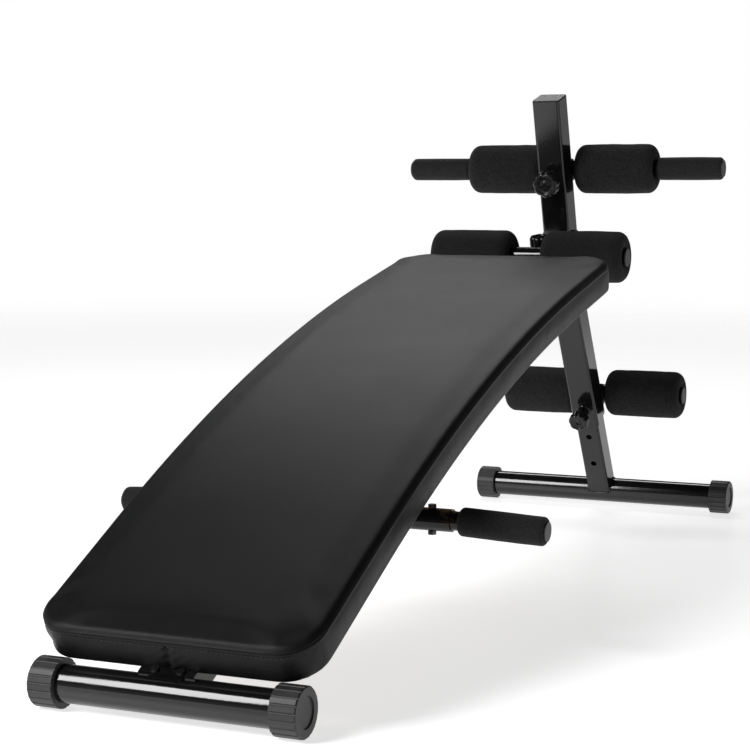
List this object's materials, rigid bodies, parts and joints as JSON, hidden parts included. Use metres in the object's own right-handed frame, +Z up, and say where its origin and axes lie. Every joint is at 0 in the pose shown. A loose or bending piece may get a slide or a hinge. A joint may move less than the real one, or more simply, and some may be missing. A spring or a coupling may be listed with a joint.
{
  "type": "decline sit up bench",
  "caption": "Folding decline sit up bench with a curved padded board, foam leg rollers, a T bar with grips, push up handles and an adjustable rear leg.",
  "frame": {"origin": "on the floor below the middle of the bench, at the bottom centre of its bounding box", "axes": "+Z up, +Y from the low front foot towards the post, +X to the right of a user facing the post"},
  "size_m": [0.517, 1.42, 0.6371],
  "materials": {
    "frame_paint": "gloss black powder coat",
    "cap_plastic": "matte",
    "roller_foam": "matte textured foam",
    "grip_foam": "matte foam",
    "knob_plastic": "gloss",
    "pad_vinyl": "satin synthetic leather",
    "board_wood": "plain plywood",
    "fastener_steel": "zinc plated"
  },
  "bodies": {
    "frame": {"front_stabilizer": "frame_paint", "front_cap_left": "cap_plastic", "front_cap_right": "cap_plastic", "main_tube": "frame_paint", "slide_glide": "cap_plastic", "front_pad_bracket": "frame_paint", "bracket_screws": "fastener_steel", "pad_plates": "frame_paint", "pad_board": "board_wood", "pad_cushion": "pad_vinyl", "pad_bolts": "fastener_steel", "pad_t_nuts": "fastener_steel", "knee_saddle": "frame_paint", "knee_bar": "frame_paint", "knee_bar_plugs": "cap_plastic", "push_saddle": "frame_paint", "push_sleeve": "frame_paint", "push_handle_left": "frame_paint", "push_handle_right": "frame_paint", "push_grip_left": "grip_foam", "push_grip_right": "grip_foam", "push_handle_plugs": "cap_plastic", "push_bolts": "fastener_steel", "slide_pin_boss": "frame_paint"},
    "knee_roller_left": {"knee_roller_left": "roller_foam"},
    "knee_roller_right": {"knee_roller_right": "roller_foam"},
    "slide_pin": {"slide_pin_shank": "fastener_steel", "slide_pin_knob": "knob_plastic"},
    "link": {"link_tube": "frame_paint", "pivot_bush": "fastener_steel"},
    "post": {"cheek_left": "frame_paint", "cheek_right": "frame_paint", "pivot_bolt": "fastener_steel", "pivot_washers": "cap_plastic", "cheek_bolt": "fastener_steel", "upper_post": "frame_paint", "post_plug": "cap_plastic", "leg_outer": "frame_paint", "leg_glide": "cap_plastic", "leg_pin_boss": "frame_paint", "t_bar_saddle": "frame_paint", "t_bar": "frame_paint", "t_bar_plugs": "cap_plastic", "t_bar_grip_left": "grip_foam", "t_bar_grip_right": "grip_foam", "foot_saddle": "frame_paint", "foot_bar": "frame_paint", "foot_bar_plugs": "cap_plastic"},
    "t_bar_roller_left": {"t_bar_roller_left": "roller_foam"},
    "t_bar_roller_right": {"t_bar_roller_right": "roller_foam"},
    "foot_roller_left": {"foot_roller_left": "roller_foam"},
    "foot_roller_right": {"foot_roller_right": "roller_foam"},
    "t_knob": {"t_knob": "knob_plastic", "t_stud": "fastener_steel"},
    "leg": {"leg_inner": "frame_paint", "rear_stabilizer": "frame_paint", "rear_cap_left": "cap_plastic", "rear_cap_right": "cap_plastic"},
    "leg_pin": {"leg_pin_shank": "fastener_steel", "leg_pin_knob": "knob_plastic"}
  },
  "joints": [
    {"name": "link_slide", "type": "slide", "parent": "frame", "child": "link", "axis": [0, 0.9781, 0.2079], "range_m": [0, 0.05]},
    {"name": "post_fold", "type": "hinge", "parent": "link", "child": "post", "pos_m": [0, 0.42815, 0.39324], "axis": [-1, 0, 0], "range_deg": [0, 95]},
    {"name": "leg_slide", "type": "slide", "parent": "post", "child": "leg", "axis": [0, 0.5036, -0.8639], "range_m": [-0.104, 0.104]},
    {"name": "slide_pin_pull", "type": "slide", "parent": "frame", "child": "slide_pin", "axis": [0, -0.2079, 0.9781], "range_m": [0, 0.012], "stiffness_N_per_m": 800, "springref_m": -0.008},
    {"name": "leg_pin_pull", "type": "slide", "parent": "post", "child": "leg_pin", "axis": [0, -0.8639, -0.5036], "range_m": [0, 0.012], "stiffness_N_per_m": 800, "springref_m": -0.008},
    {"name": "t_knob_turn", "type": "hinge", "parent": "post", "child": "t_knob", "pos_m": [0, 0.43956, 0.52031], "axis": [0, -0.9613, -0.2756], "continuous": true},
    {"name": "knee_roller_left_spin", "type": "hinge", "parent": "frame", "child": "knee_roller_left", "pos_m": [0, 0.32892, 0.40793], "axis": [1, 0, 0], "continuous": true},
    {"name": "knee_roller_right_spin", "type": "hinge", "parent": "frame", "child": "knee_roller_right", "pos_m": [0, 0.32892, 0.40793], "axis": [1, 0, 0], "continuous": true},
    {"name": "t_bar_roller_left_spin", "type": "hinge", "parent": "post", "child": "t_bar_roller_left", "pos_m": [0, 0.47513, 0.5305], "axis": [1, 0, 0], "continuous": true},
    {"name": "t_bar_roller_right_spin", "type": "hinge", "parent": "post", "child": "t_bar_roller_right", "pos_m": [0, 0.47513, 0.5305], "axis": [1, 0, 0], "continuous": true},
    {"name": "foot_roller_left_spin", "type": "hinge", "parent": "post", "child": "foot_roller_left", "pos_m": [0, 0.63747, 0.18597], "axis": [1, 0, 0], "continuous": true},
    {"name": "foot_roller_right_spin", "type": "hinge", "parent": "post", "child": "foot_roller_right", "pos_m": [0, 0.63747, 0.18597], "axis": [1, 0, 0], "continuous": true}
  ]
}
